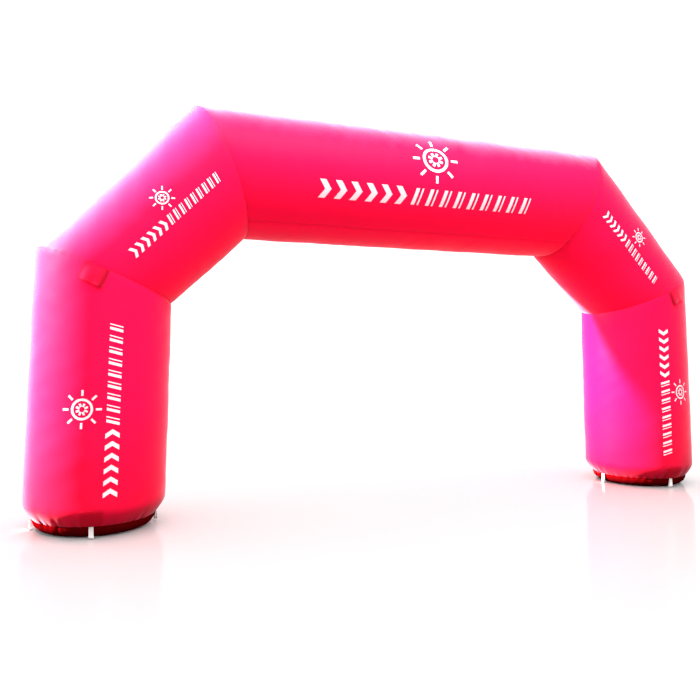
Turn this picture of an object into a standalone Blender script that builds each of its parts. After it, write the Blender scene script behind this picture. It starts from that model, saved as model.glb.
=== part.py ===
"""Inflatable arch: five cloth tubes between two bulging base discs, with its loops and patches.

Metres, +Z up. The arch spans X and stands on the ground at z = 0, with the middle of its
footprint at the origin. The front faces -Y. Every tube is a hollow skin of cloth, cut on the
slanting plane that it shares with its neighbour.
"""

from math import atan, cos, pi, radians, sin, tan

import bmesh
import bpy
from mathutils import Vector

# The arch's line: the middle of its tubes.
legSpacing = 6.168  # between the middles of the two legs
elbowHeight = 2.209  # where a leg's middle line meets its shoulder's
beamHeight = 3.271  # middle line of the level tube
beamCorner = 2.062  # x where a shoulder's middle line meets the beam's

# The tubes' sections.
legRadius = 0.600
beamRadius = 0.638
wall = 0.002
gap = 0.0003  # between neighbouring pieces
around = 48  # flats round a whole tube
seamPinch = 0.992  # how far a seam draws its tube in
crown = 1.003  # how far a long tube swells at its middle
pinchLength = 0.070  # reach of that pull along the tube
creaseAngle = radians(40)  # sharper edges than this stay sharp

# How a leg fills out above its foot: lift above the seam, and how far its radius has gone from the
# seam's to the leg's own.
footRows = (
    {"lift": 0.0, "fullness": 0.0},
    {"lift": 0.045, "fullness": 0.50},
    {"lift": 0.140, "fullness": 1.0},
)

# The base discs.
baseDepth = 0.100  # from the ground to the seam of a base
restingRadius = 0.400  # of the flat round on which a base rests
baseSeamRadius = 0.520
baseLip = 0.006  # upright edge of the disc, where it is sewn
baseSteps = 6

# The level tube's under panel, as the angle it takes each side of straight down.
underHalfAngle = radians(36)
upperFlats = 38
underFlats = 10

# Webbing loops round the base seam.
loopWidth = 0.038
loopTape = 0.002
loopNeck = 0.014  # length sewn together at the top
loopNeckHalf = 0.0016  # from the loop's middle to the middle of a tape, at the neck
loopStraight = 0.068
loopHalfGap = 0.010  # the same at the bottom, where the loop is widest
loopFlare = 0.7  # below 1, the loop opens sooner
loopClearance = 0.001  # between the neck and the base
loopSteps = 4
loopRoundSteps = 6

# Patches.
basePatchWidth = 0.185  # as tall as footRows reach
elbowPatchWidth = 0.220
elbowPatchDepth = 0.155
elbowPatchCentre = radians(9.5)  # from the front of the leg towards the arch's outer side
elbowPatchStandOff = 0.0025
elbowPatchLift = 0.020  # how far the free corner stands away
patchSteps = 5

# One row a leg: its name, the side of the arch it is on, and how far its front and back loops and
# base patches are turned round the leg, from straight ahead towards the arch's outer side.
legs = (
    {"name": "left", "side": -1, "turn": radians(6)},
    {"name": "right", "side": 1, "turn": radians(-2)},
)
faces = ({"name": "front", "toward": 1}, {"name": "back", "toward": -1})

legX = legSpacing / 2
shoulderSlope = atan((beamHeight - elbowHeight) / (legX - beamCorner))
legMitre = tan((pi / 2 - shoulderSlope) / 2)  # rise of the elbow's plane across the leg
beamMitre = tan(shoulderSlope / 2)  # lean of the corner's plane along the beam


def newMaterial(name, colour, roughness):
    material = bpy.data.materials.new(name)
    material.use_nodes = True
    shader = material.node_tree.nodes["Principled BSDF"]
    shader.inputs["Base Color"].default_value = (*colour, 1.0)
    shader.inputs["Roughness"].default_value = roughness
    shader.inputs["Metallic"].default_value = 0.0
    return material


def addObject(name, mesh, material, collection):
    mesh.materials.append(material)
    piece = bpy.data.objects.new(name, mesh)
    collection.objects.link(piece)
    return piece


def clothShell(name, outer, inner, closed, material, collection):
    """One skin of cloth between two grids of points, its face and its back, with its edges
    closed. closed joins the last column to the first, as round a tube."""
    mesh = bpy.data.meshes.new(name)
    shell = bmesh.new()
    front = [[shell.verts.new(point) for point in row] for row in outer]
    back = [[shell.verts.new(point) for point in row] for row in inner]
    columns = len(outer[0])
    spans = columns if closed else columns - 1
    for row in range(len(outer) - 1):
        for column in range(spans):
            after = (column + 1) % columns
            shell.faces.new((front[row][column], front[row][after],
                             front[row + 1][after], front[row + 1][column]))
            shell.faces.new((back[row][column], back[row + 1][column],
                             back[row + 1][after], back[row][after]))
    for column in range(spans):
        after = (column + 1) % columns
        shell.faces.new((front[0][column], back[0][column], back[0][after], front[0][after]))
        shell.faces.new((front[-1][column], front[-1][after], back[-1][after], back[-1][column]))
    if not closed:
        for row in range(len(outer) - 1):
            shell.faces.new((front[row][0], front[row + 1][0], back[row + 1][0], back[row][0]))
            shell.faces.new((front[row][-1], back[row][-1],
                             back[row + 1][-1], front[row + 1][-1]))
    bmesh.ops.recalc_face_normals(shell, faces=shell.faces)
    shell.to_mesh(mesh)
    shell.free()
    mesh.shade_smooth()
    mesh.set_sharp_from_angle(angle=creaseAngle)
    return addObject(name, mesh, material, collection)


def angles(first, last, steps):
    return [first + (last - first) * i / steps for i in range(steps + 1)]


def blend(start, end, share):
    return start + (end - start) * share


def legPoint(side, angle, radius, height):
    """A point round a leg. The angle runs from the arch's outer side through the front."""
    return Vector((side * (legX + radius * cos(angle)), -radius * sin(angle), height))


def elbowPoint(side, angle, radius, shift):
    """A point on the plane where leg and shoulder meet, moved up the tube by shift."""
    rise = legMitre * radius * cos(angle) + shift
    return legPoint(side, angle, radius, elbowHeight + rise)


def cornerPoint(side, angle, radius, shift):
    """A point on the plane where shoulder and beam meet, moved along the beam by shift.
    The angle runs from the top of the beam through its front."""
    reach = beamCorner + beamMitre * radius * cos(angle) + shift
    return Vector((side * reach, -radius * sin(angle), beamHeight + radius * cos(angle)))


def footProfile():
    return [(row["lift"], blend(baseSeamRadius, legRadius, row["fullness"])) for row in footRows]


def legRings(side, thickness):
    turns = angles(0, 2 * pi, around)[:-1]
    bottom = baseDepth + gap / 2
    rings = [
        [legPoint(side, turn, size - thickness, bottom + lift) for turn in turns]
        for lift, size in footProfile()
    ]
    for drop, size in ((pinchLength, 1.0), (gap / 2, seamPinch)):
        radius = legRadius * size - thickness
        rings.append([elbowPoint(side, turn, radius, -drop) for turn in turns])
    return rings


def shoulderRings(side, thickness):
    turns = angles(0, 2 * pi, around)[:-1]
    length = ((legX - beamCorner) ** 2 + (beamHeight - elbowHeight) ** 2) ** 0.5
    pull = pinchLength / length
    rings = []
    for share, size in ((0, seamPinch), (pull, 1.0), (0.5, crown), (1 - pull, 1.0), (1, seamPinch)):
        ring = []
        for turn in turns:
            low = elbowPoint(side, turn, legRadius * size - thickness, gap / 2)
            high = cornerPoint(side, turn, beamRadius * size - thickness, gap / 2)
            ring.append(low.lerp(high, share))
        rings.append(ring)
    return rings


def beamRings(thickness, turns):
    """Rows of points across the beam, from its left end to its right end."""
    rings = []
    pull = pinchLength / beamCorner
    for share, size in ((-1, seamPinch), (pull - 1, 1.0), (-0.5, crown), (0, crown),
                        (0.5, crown), (1 - pull, 1.0), (1, seamPinch)):
        radius = beamRadius * size - thickness
        ring = []
        for turn in turns:
            end = cornerPoint(1, turn, radius, -gap / 2)
            ring.append(Vector((end.x * share, end.y, end.z)))
        rings.append(ring)
    return rings


def buildTubes(material, collection):
    for leg in legs:
        side = leg["side"]
        clothShell("leg_" + leg["name"], legRings(side, 0), legRings(side, wall),
                   True, material, collection)
        clothShell("shoulder_" + leg["name"], shoulderRings(side, 0), shoulderRings(side, wall),
                   True, material, collection)
    seamAngle = pi - underHalfAngle
    halfGap = gap / (2 * beamRadius)
    upper = angles(halfGap - seamAngle, seamAngle - halfGap, upperFlats)
    under = angles(seamAngle + halfGap, 2 * pi - seamAngle - halfGap, underFlats)
    for name, turns in (("beam_panel", upper), ("beam_under_panel", under)):
        clothShell(name, beamRings(0, turns), beamRings(wall, turns), False, material, collection)


def buildBases(material, collection):
    """Each base is a turned dish: flat where it rests, then a quarter of an ellipse up to its lip."""
    rim = baseDepth - gap / 2
    profile = [(baseSeamRadius, rim)]
    profile += [
        (blend(restingRadius, baseSeamRadius, sin(turn)), (rim - baseLip) * (1 - cos(turn)))
        for turn in angles(pi / 2, 0, baseSteps)
    ]
    profile.append((0.0, 0.0))
    for leg in legs:
        mesh = bpy.data.meshes.new("base_" + leg["name"])
        points = [(reach, 0.0, height) for reach, height in profile]
        mesh.from_pydata(points, [(i, i + 1) for i in range(len(points) - 1)], [])
        base = addObject("base_" + leg["name"], mesh, material, collection)
        base.location.x = leg["side"] * legX
        screw = base.modifiers.new("Turn", "SCREW")
        screw.axis = "Z"
        screw.angle = 2 * pi
        screw.steps = around
        screw.render_steps = around
        screw.use_merge_vertices = True
        screw.merge_threshold = 0.0001
        screw.use_smooth_shade = True
        thicken = base.modifiers.new("Cloth", "SOLIDIFY")
        thicken.thickness = wall
        thicken.offset = -1


def loopOutline(offset, top):
    """The closed outline of a hanging loop, seen edge on: down its inner side, round its bottom and
    up its outer side. offset is half a tape outwards for the outline, inwards for its hole."""
    lowest = -loopNeck - loopStraight
    down = [(loopNeckHalf + offset, top)]
    for i in range(1, loopSteps + 1):
        share = i / loopSteps
        halfGap = blend(loopNeckHalf, loopHalfGap, share ** loopFlare)
        down.append((halfGap + offset, blend(-loopNeck, lowest, share)))
    bottom = [
        ((loopHalfGap + offset) * cos(turn), lowest - (loopHalfGap + offset) * sin(turn))
        for turn in angles(0, pi, loopRoundSteps)[1:-1]
    ]
    inward = [(-x, z) for x, z in down + bottom]
    return inward + list(reversed(down))


def buildLoops(material, collection):
    reach = baseSeamRadius + gap + loopClearance + loopNeckHalf + loopTape / 2
    for leg in legs:
        side = leg["side"]
        places = [(face["name"], pi / 2 * face["toward"] - leg["turn"] * face["toward"])
                  for face in faces]
        places += [("outer", 0), ("inner", pi)]
        for name, angle in places:
            outward = Vector((side * cos(angle), -sin(angle), 0))
            across = Vector((0, 0, 1)).cross(outward)
            hung = Vector((side * legX, 0, baseDepth - gap)) + outward * reach
            grids = []
            for offset, top in ((loopTape / 2, 0), (-loopTape / 2, -loopNeck)):
                grids.append([
                    [hung + across * edge + outward * x + Vector((0, 0, z))
                     for x, z in loopOutline(offset, top)]
                    for edge in (-loopWidth / 2, loopWidth / 2)
                ])
            clothShell("loop_" + leg["name"] + "_" + name, grids[0], grids[1], True,
                       material, collection)


def buildBasePatches(material, collection):
    """Rectangles that follow the foot of the leg, from just above its seam."""
    halfAngle = basePatchWidth / legRadius / 2
    flat = 2 * halfAngle / patchSteps
    for leg in legs:
        for face in faces:
            middle = (pi / 2 - leg["turn"]) * face["toward"]
            grids = []
            for offset in (gap + wall, gap):
                grid = []
                for lift, size in footProfile():
                    radius = (size + offset) / cos(flat / 2)
                    grid.append([
                        legPoint(leg["side"], turn, radius, baseDepth + gap + lift)
                        for turn in angles(middle - halfAngle, middle + halfAngle, patchSteps)
                    ])
                grids.append(grid)
            clothShell("base_patch_" + leg["name"] + "_" + face["name"], grids[0], grids[1],
                       False, material, collection)


def elbowPatchGrid(leg, toward, offset):
    """Points of a flap that hangs square to the elbow's seam, its free inner corner lifted."""
    slope = atan(legMitre)
    grid = []
    for down in range(patchSteps + 1):
        depth = blend(2 * gap + wall, elbowPatchDepth, down / patchSteps)
        row = []
        for along in range(patchSteps + 1):
            share = along / patchSteps
            arc = legRadius * elbowPatchCentre + (share - 0.5) * elbowPatchWidth * cos(slope)
            fromFront = (arc + depth * sin(slope)) / legRadius
            seam = elbowHeight + legMitre * legRadius * sin(arc / legRadius)
            lift = elbowPatchLift * (down / patchSteps) * (1 - share) ** 2
            radius = legRadius + elbowPatchStandOff + lift + offset
            turn = (pi / 2 - fromFront) * toward
            row.append(legPoint(leg["side"], turn, radius, seam - depth * cos(slope)))
        grid.append(row)
    return grid


def buildElbowPatches(material, collection):
    for leg in legs:
        for face in faces:
            clothShell("elbow_patch_" + leg["name"] + "_" + face["name"],
                       elbowPatchGrid(leg, face["toward"], wall),
                       elbowPatchGrid(leg, face["toward"], 0), False, material, collection)


def main():
    for old in list(bpy.data.objects):
        bpy.data.objects.remove(old, do_unlink=True)
    collection = bpy.data.collections.new("Inflatable arch")
    bpy.context.scene.collection.children.link(collection)
    red = newMaterial("coated nylon, red", (0.80, 0.012, 0.075), 0.45)
    darkRed = newMaterial("coated nylon, dark red", (0.50, 0.010, 0.040), 0.5)
    white = newMaterial("webbing, white", (0.82, 0.82, 0.80), 0.8)
    buildTubes(red, collection)
    buildBases(darkRed, collection)
    buildLoops(white, collection)
    buildBasePatches(darkRed, collection)
    buildElbowPatches(red, collection)


main()
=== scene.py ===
from math import atan, cos, pi, radians, sin, tan

import bmesh
import bpy
import numpy as np
from mathutils import Matrix, Vector


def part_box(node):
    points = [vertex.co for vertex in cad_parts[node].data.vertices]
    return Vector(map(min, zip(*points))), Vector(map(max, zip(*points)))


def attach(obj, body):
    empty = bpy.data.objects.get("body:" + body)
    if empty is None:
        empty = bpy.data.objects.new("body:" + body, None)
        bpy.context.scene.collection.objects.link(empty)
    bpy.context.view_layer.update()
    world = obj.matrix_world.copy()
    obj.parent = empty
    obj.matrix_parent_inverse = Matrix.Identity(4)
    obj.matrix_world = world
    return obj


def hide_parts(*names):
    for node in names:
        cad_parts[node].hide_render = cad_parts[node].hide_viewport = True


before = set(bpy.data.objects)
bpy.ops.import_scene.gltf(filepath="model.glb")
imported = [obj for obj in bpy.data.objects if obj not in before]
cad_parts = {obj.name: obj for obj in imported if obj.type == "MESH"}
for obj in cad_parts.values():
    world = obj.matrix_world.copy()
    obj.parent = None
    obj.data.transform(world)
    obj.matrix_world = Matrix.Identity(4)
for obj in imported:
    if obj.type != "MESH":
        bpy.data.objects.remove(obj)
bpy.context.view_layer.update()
print("frame loaded:", len(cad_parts), "pieces")

# Sizes that the solids share, in metres.
cloth = {
    "wall": 0.002,
    "gap": 0.0003,  # between neighbouring pieces
    "seamPinch": 0.992,  # how far a mitred seam draws its tube in
    "pinchLength": 0.070,
    "calmLength": 0.07,  # beside a seam, where the cloth has no ripples
    "crown": 0.003,  # swelling of a tube at its middle, as a share of its radius
    "footReach": 0.130,  # height in which a leg fills out above its foot
    "footRound": 1.5,  # how round it does so
    "baseSeamRadius": 0.520,
    "underHalfAngle": radians(36),  # of the level tube's under panel
}

# The arch's line, worked out from the frame.
legLow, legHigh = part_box("leg_right")
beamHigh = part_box("beam_panel")[1]
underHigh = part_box("beam_under_panel")[1]
legX = (legLow.x + legHigh.x) / 2
legRadius = (legHigh.x - legLow.x) / 2
baseDepth = legLow.z - cloth["gap"] / 2
beamRadius = beamHigh.y / (1 + cloth["crown"])
beamHeight = beamHigh.z - beamHigh.y
mitreReach = (beamHigh.x - underHigh.x) / (1 + cos(cloth["underHalfAngle"]))
beamCorner = beamHigh.x + cloth["gap"] / 2 - mitreReach
beamMitre = mitreReach / (beamRadius * cloth["seamPinch"])
shoulderSlope = 2 * atan(beamMitre)
elbowHeight = beamHeight - (legX - beamCorner) * tan(shoulderSlope)
legMitre = tan((pi / 2 - shoulderSlope) / 2)
shoulderLength = (legX - beamCorner) / cos(shoulderSlope)
sides = {"left": -1, "right": 1}
front = np.array((0.0, -1.0, 0.0))


view = {
    "place": (-3.479, -7.107, 1.615),
    "turn": 0.385,  # from straight ahead towards +X
    "tilt": 0.110,  # upwards
    "roll": 0.005,
    "lens": 37.76,
    "shift": (-0.0076, -0.1264),
}

light = {
    "skyStrength": 1.3,
    "keyStrength": 64.0,
    "keyWidth": radians(2.5),
    "keyTurn": radians(15),  # behind straight left
    "keyRise": radians(26),
    "floorSize": 160.0,
    "floorShade": (0.89, 0.89, 0.89, 1.0),
    "floorRoughness": 0.08,
    "floorSpecular": 0.03,
}

softPanels = {
    "front panel": {"place": (-1.0, -4.5, 10.0), "aim": (0.0, 0.0, 2.0), "size": (9.0, 5.0),
                    "power": 5200.0},
    "back panel": {"place": (-7.5, 3.5, 6.5), "aim": (-2.4, 0.0, 2.9), "size": (7.0, 5.0),
                   "power": 9000.0},
    "low panel": {"place": (-0.5, -8.0, 0.5), "aim": (0.0, 0.0, 0.3), "size": (12.0, 0.8),
                  "power": 320.0},
}


def addCamera():
    camera = bpy.data.objects.new("camera", bpy.data.cameras.new("camera"))
    bpy.context.scene.collection.objects.link(camera)
    ahead = Vector((sin(view["turn"]) * cos(view["tilt"]), cos(view["turn"]) * cos(view["tilt"]),
                    sin(view["tilt"])))
    across = Vector((cos(view["turn"]), -sin(view["turn"]), 0.0))
    above = across.cross(ahead)
    right = across * cos(view["roll"]) + above * sin(view["roll"])
    up = above * cos(view["roll"]) - across * sin(view["roll"])
    turned = Matrix((right, up, -ahead)).transposed().to_4x4()
    camera.matrix_world = Matrix.Translation(view["place"]) @ turned
    camera.data.sensor_width = 36.0
    camera.data.lens = view["lens"]
    camera.data.shift_x, camera.data.shift_y = view["shift"]
    camera.data.clip_end = 500.0
    bpy.context.scene.camera = camera


# One node, its settings, and its sockets by name or number.
def addNode(tree, kind, inputs=None, **settings):
    node = tree.nodes.new(kind)
    for name, value in settings.items():
        setattr(node, name, value)
    for socket, value in (inputs or {}).items():
        if isinstance(value, bpy.types.NodeSocket):
            tree.links.new(value, node.inputs[socket])
        else:
            node.inputs[socket].default_value = value
    return node


def emptyTree(holder):
    holder.use_nodes = True
    holder.node_tree.nodes.clear()
    return holder.node_tree


def addStage():
    scene = bpy.context.scene
    scene.view_settings.view_transform = "Standard"
    scene.view_settings.look = "None"
    world = bpy.data.worlds.new("pale room")
    scene.world = world
    tree = emptyTree(world)
    sky = addNode(tree, "ShaderNodeBackground",
                  {"Color": (1.0, 1.0, 1.0, 1.0), "Strength": light["skyStrength"]})
    addNode(tree, "ShaderNodeOutputWorld", {"Surface": sky.outputs[0]})

    half = light["floorSize"] / 2
    mesh = bpy.data.meshes.new("floor")
    corners = [(-half, -half), (half, -half), (half, half), (-half, half)]
    mesh.from_pydata([(x, y, -cloth["gap"]) for x, y in corners], [], [(0, 1, 2, 3)])
    material = bpy.data.materials.new("pale floor")
    tree = emptyTree(material)
    surface = addNode(tree, "ShaderNodeBsdfPrincipled", {
        "Base Color": light["floorShade"],
        "Roughness": light["floorRoughness"],
        "Specular IOR Level": light["floorSpecular"],
    })
    addNode(tree, "ShaderNodeOutputMaterial", {"Surface": surface.outputs[0]})
    mesh.materials.append(material)
    floor = bpy.data.objects.new("floor", mesh)
    scene.collection.objects.link(floor)

    # The lamps light the arch alone, so that the floor stays plain.
    unlit = bpy.data.collections.new("not lit by the lamps")
    unlit.objects.link(floor)
    unlit.collection_objects[0].light_linking.link_state = "EXCLUDE"
    toKey = Vector((-cos(light["keyRise"]) * cos(light["keyTurn"]),
                    cos(light["keyRise"]) * sin(light["keyTurn"]), sin(light["keyRise"])))
    key = bpy.data.lights.new("key", "SUN")
    key.energy = light["keyStrength"]
    key.angle = light["keyWidth"]
    addLamp(key, (0, 0, 0), toKey, unlit)
    for name, panel in softPanels.items():
        lamp = bpy.data.lights.new(name, "AREA")
        lamp.shape = "RECTANGLE"
        lamp.size, lamp.size_y = panel["size"]
        lamp.energy = panel["power"]
        place = Vector(panel["place"])
        addLamp(lamp, place, place - Vector(panel["aim"]), unlit)


def addLamp(data, place, backwards, unlit):
    lamp = bpy.data.objects.new(data.name, data)
    bpy.context.scene.collection.objects.link(lamp)
    lamp.location = place
    lamp.rotation_euler = backwards.to_track_quat("Z", "Y").to_euler()
    lamp.light_linking.receiver_collection = unlit
    lamp.visible_camera = False


clothFinish = {
    "arch": {"colour": (0.60, 0.0011, 0.0255), "worn": (0.56, 0.0015, 0.0280), "roughness": 0.52,
             "sheen": 0.16, "seamShade": 0.16, "specular": 0.02, "groundShade": 0.55, "groundShadeHeight": 1.10},
    # the base's colour is made very dark as painted shade on its downward-facing bulge
    "base": {"colour": (0.062, 0.0001, 0.0005), "worn": (0.046, 0.0001, 0.0004), "roughness": 0.60,
             "sheen": 0.0, "seamShade": 0.16, "specular": 0.0, "groundShade": 0.9, "groundShadeHeight": 0.11},
    "patch": {"colour": (0.25, 0.0006, 0.008), "worn": (0.22, 0.0008, 0.009), "roughness": 0.55,
              "sheen": 0.06, "seamShade": 0.16, "specular": 0.02, "groundShade": 0.0},
    # the flap's colour is darker than the arch's, and its strong seamShade paints shade along its inner
    # side
    "flap": {"colour": (0.42, 0.0009, 0.0185), "worn": (0.39, 0.0012, 0.0200), "roughness": 0.52,
             "sheen": 0.18, "seamShade": 0.9, "specular": 0.03, "groundShade": 0.0},
}

weave = {
    "thread": 0.0012,  # width of one thread
    "ripstop": 0.0095,  # between the thicker threads
    "threadShare": 0.5,  # height of a plain thread beside a thick one's
    "thickSharpness": 24.0,
    "depth": 0.00012,
}

clothPattern = {
    "broadScale": 2.2,
    "broadShare": 0.75,
    "smallScale": 34.0,
    "glossChange": 0.10,
    "unevenScale": 4.5,
    "unevenHeight": 0.0016,
    "weaveShows": 0.5,
    "seamDepth": 0.30,  # brightness of the doubled cloth at a seam, and of the painted shade that shares its mix
    "sheenRoughness": 0.33,
    "sheenTint": (1.0, 0.80, 0.92, 1.0),
    "groundShadeColour": (0.020, 0.0008, 0.001, 1.0),
    "groundShadeEdge": 0.02,  # unevenness of the upper edge of the painted shade near the ground
}


def mathNode(tree, operation, first, second=0.0):
    return addNode(tree, "ShaderNodeMath", {0: first, 1: second}, operation=operation).outputs[0]


def mixColour(tree, share, first, second):
    return addNode(tree, "ShaderNodeMix", {0: share, 6: first, 7: second},
                   data_type="RGBA").outputs[2]


def noise(tree, place, scale, detail=2.0):
    return addNode(tree, "ShaderNodeTexNoise",
                   {"Vector": place, "Scale": scale, "Detail": detail}).outputs["Fac"]


# A plain weave with a thicker thread now and then, from a map in metres.
def weaveHeight(tree, uv):
    split = addNode(tree, "ShaderNodeSeparateXYZ", {0: uv})
    fine = []
    thick = []
    for axis in (0, 1):
        along = split.outputs[axis]
        fine.append(mathNode(tree, "SINE", mathNode(tree, "MULTIPLY", along, pi / weave["thread"])))
        wave = mathNode(tree, "COSINE", mathNode(tree, "MULTIPLY", along, 2 * pi / weave["ripstop"]))
        thick.append(mathNode(tree, "POWER", mathNode(tree, "MAXIMUM", wave, 0.0),
                              weave["thickSharpness"]))
    cross = mathNode(tree, "MULTIPLY", fine[0], fine[1])
    grid = mathNode(tree, "MAXIMUM", thick[0], thick[1])
    return mathNode(tree, "ADD", mathNode(tree, "MULTIPLY", cross, weave["threadShare"]), grid)


def clothMaterial(name, finish):
    material = bpy.data.materials.new(name)
    tree = emptyTree(material)
    place = addNode(tree, "ShaderNodeTexCoord").outputs["Object"]
    uv = addNode(tree, "ShaderNodeUVMap", uv_map="clothMap").outputs[0]
    seamAndShade = addNode(tree, "ShaderNodeAttribute", attribute_name="seamAndShade").outputs["Fac"]
    broad = noise(tree, place, clothPattern["broadScale"], 3.0)
    small = noise(tree, place, clothPattern["smallScale"], 3.0)
    tone = mathNode(tree, "ADD", mathNode(tree, "MULTIPLY", broad, clothPattern["broadShare"]),
                    mathNode(tree, "MULTIPLY", small, 1 - clothPattern["broadShare"]))
    colour = mixColour(tree, tone, (*finish["colour"], 1.0), (*finish["worn"], 1.0))
    # doubled cloth lets less light through, so it looks deeper along a seam; the same mix also paints
    # shade in the foot's folds, just above the foot's seam and along the flap's inner side
    deep = tuple(clothPattern["seamDepth"] * part for part in finish["colour"])
    seam = mathNode(tree, "MULTIPLY", seamAndShade, finish["seamShade"])
    colour = mixColour(tree, seam, colour, (*deep, 1.0))
    # painted shade: the cloth is drawn darker towards the ground, as if less light reached it low down
    if finish["groundShade"]:
        height = addNode(tree, "ShaderNodeSeparateXYZ", {0: place}).outputs[2]
        edge = mathNode(tree, "MULTIPLY", small, clothPattern["groundShadeEdge"])
        groundShade = addNode(tree, "ShaderNodeMapRange", {
            0: mathNode(tree, "ADD", height, edge), 1: 0.0, 2: finish["groundShadeHeight"],
            3: finish["groundShade"], 4: 0.0}).outputs[0]
        colour = mixColour(tree, groundShade, colour, clothPattern["groundShadeColour"])
    change = clothPattern["glossChange"]
    gloss = mathNode(tree, "ADD", mathNode(tree, "MULTIPLY", small, change),
                     finish["roughness"] - change / 2)
    uneven = addNode(tree, "ShaderNodeBump", {
        "Height": noise(tree, place, clothPattern["unevenScale"], 2.0),
        "Distance": clothPattern["unevenHeight"], "Strength": 1.0})
    woven = addNode(tree, "ShaderNodeBump", {
        "Height": weaveHeight(tree, uv), "Distance": weave["depth"],
        "Strength": clothPattern["weaveShows"], "Normal": uneven.outputs[0]})
    surface = addNode(tree, "ShaderNodeBsdfPrincipled", {
        "Base Color": colour,
        "Roughness": gloss,
        "Normal": woven.outputs[0],
        "Sheen Weight": finish["sheen"],
        "Sheen Roughness": clothPattern["sheenRoughness"],
        "Sheen Tint": clothPattern["sheenTint"],
        "Specular IOR Level": finish["specular"],
    })
    addNode(tree, "ShaderNodeOutputMaterial", {"Surface": surface.outputs[0]})
    return material


inkFinish = {
    "colour": (0.53, 0.34, 0.36, 1.0),
    "rubbed": (0.48, 0.29, 0.31, 1.0),
    "rubScale": 26.0,
    "roughness": 0.55,
    "specular": 0.2,
    "weaveShows": 0.4,
}


# White ink that lies in the weave, a little rubbed.
def inkMaterial():
    material = bpy.data.materials.new("white print")
    tree = emptyTree(material)
    place = addNode(tree, "ShaderNodeTexCoord").outputs["Object"]
    uv = addNode(tree, "ShaderNodeUVMap", uv_map="clothMap").outputs[0]
    colour = mixColour(tree, noise(tree, place, inkFinish["rubScale"], 3.0),
                       inkFinish["colour"], inkFinish["rubbed"])
    woven = addNode(tree, "ShaderNodeBump", {
        "Height": weaveHeight(tree, uv), "Distance": weave["depth"],
        "Strength": inkFinish["weaveShows"]})
    surface = addNode(tree, "ShaderNodeBsdfPrincipled", {
        "Base Color": colour, "Roughness": inkFinish["roughness"], "Normal": woven.outputs[0],
        "Specular IOR Level": inkFinish["specular"]})
    addNode(tree, "ShaderNodeOutputMaterial", {"Surface": surface.outputs[0]})
    return material


webbingFinish = {
    "colour": (0.44, 0.42, 0.40, 1.0),
    "worn": (0.28, 0.265, 0.245, 1.0),
    "rib": 0.0016,  # between the ribs across the tape
    "twill": 0.0030,
    "depth": 0.0003,
    "roughness": 0.75,
    "sheen": 0.3,
    "twillShare": 0.7,  # height of the twill beside a rib's
    "dirtScale": 60.0,
    "dirtShare": 0.7,
    "reliefShade": 0.08,  # how much darker the high threads are
    "weaveShows": 0.7,
}


# White tape with a rib across it and a fine twill.
def webbingMaterial():
    material = bpy.data.materials.new("white webbing")
    tree = emptyTree(material)
    place = addNode(tree, "ShaderNodeTexCoord").outputs["Object"]
    uv = addNode(tree, "ShaderNodeUVMap", uv_map="clothMap").outputs[0]
    split = addNode(tree, "ShaderNodeSeparateXYZ", {0: uv})
    across = mathNode(tree, "MULTIPLY", split.outputs[0], 2 * pi / webbingFinish["rib"])
    rib = mathNode(tree, "SINE", across)
    slant = mathNode(tree, "ADD", split.outputs[0], split.outputs[1])
    twill = mathNode(tree, "SINE", mathNode(tree, "MULTIPLY", slant, 2 * pi / webbingFinish["twill"]))
    height = mathNode(tree, "ADD", rib, mathNode(tree, "MULTIPLY", twill,
                                               webbingFinish["twillShare"]))
    dirt = mathNode(tree, "MULTIPLY", noise(tree, place, webbingFinish["dirtScale"], 3.0),
                    webbingFinish["dirtShare"])
    relief = mathNode(tree, "MULTIPLY", height, webbingFinish["reliefShade"])
    shade = mathNode(tree, "ADD", dirt, relief)
    colour = mixColour(tree, shade, webbingFinish["colour"], webbingFinish["worn"])
    woven = addNode(tree, "ShaderNodeBump", {
        "Height": height, "Distance": webbingFinish["depth"],
        "Strength": webbingFinish["weaveShows"]})
    surface = addNode(tree, "ShaderNodeBsdfPrincipled", {
        "Base Color": colour, "Roughness": webbingFinish["roughness"],
        "Normal": woven.outputs[0], "Sheen Weight": webbingFinish["sheen"]})
    addNode(tree, "ShaderNodeOutputMaterial", {"Surface": surface.outputs[0]})
    return material


threadFinish = {
    "red": (0.46, 0.001, 0.018),
    "white": (0.70, 0.68, 0.64),
    "darker": 0.75,
    "roughness": 0.60,
    "specular": 0.08,
    "toneScale": 90.0,
    "twistScale": 1500.0,
    "twistDepth": 0.0002,
    "twistShows": 0.6,
}


def threadMaterial(name, colour):
    material = bpy.data.materials.new(name)
    tree = emptyTree(material)
    place = addNode(tree, "ShaderNodeTexCoord").outputs["Object"]
    darker = tuple(threadFinish["darker"] * part for part in colour)
    tone = mixColour(tree, noise(tree, place, threadFinish["toneScale"], 2.0),
                     (*colour, 1.0), (*darker, 1.0))
    twist = addNode(tree, "ShaderNodeBump", {
        "Height": noise(tree, place, threadFinish["twistScale"], 1.0),
        "Distance": threadFinish["twistDepth"], "Strength": threadFinish["twistShows"]})
    surface = addNode(tree, "ShaderNodeBsdfPrincipled", {
        "Base Color": tone, "Roughness": threadFinish["roughness"],
        "Normal": twist.outputs[0], "Specular IOR Level": threadFinish["specular"]})
    addNode(tree, "ShaderNodeOutputMaterial", {"Surface": surface.outputs[0]})
    return material


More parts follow.
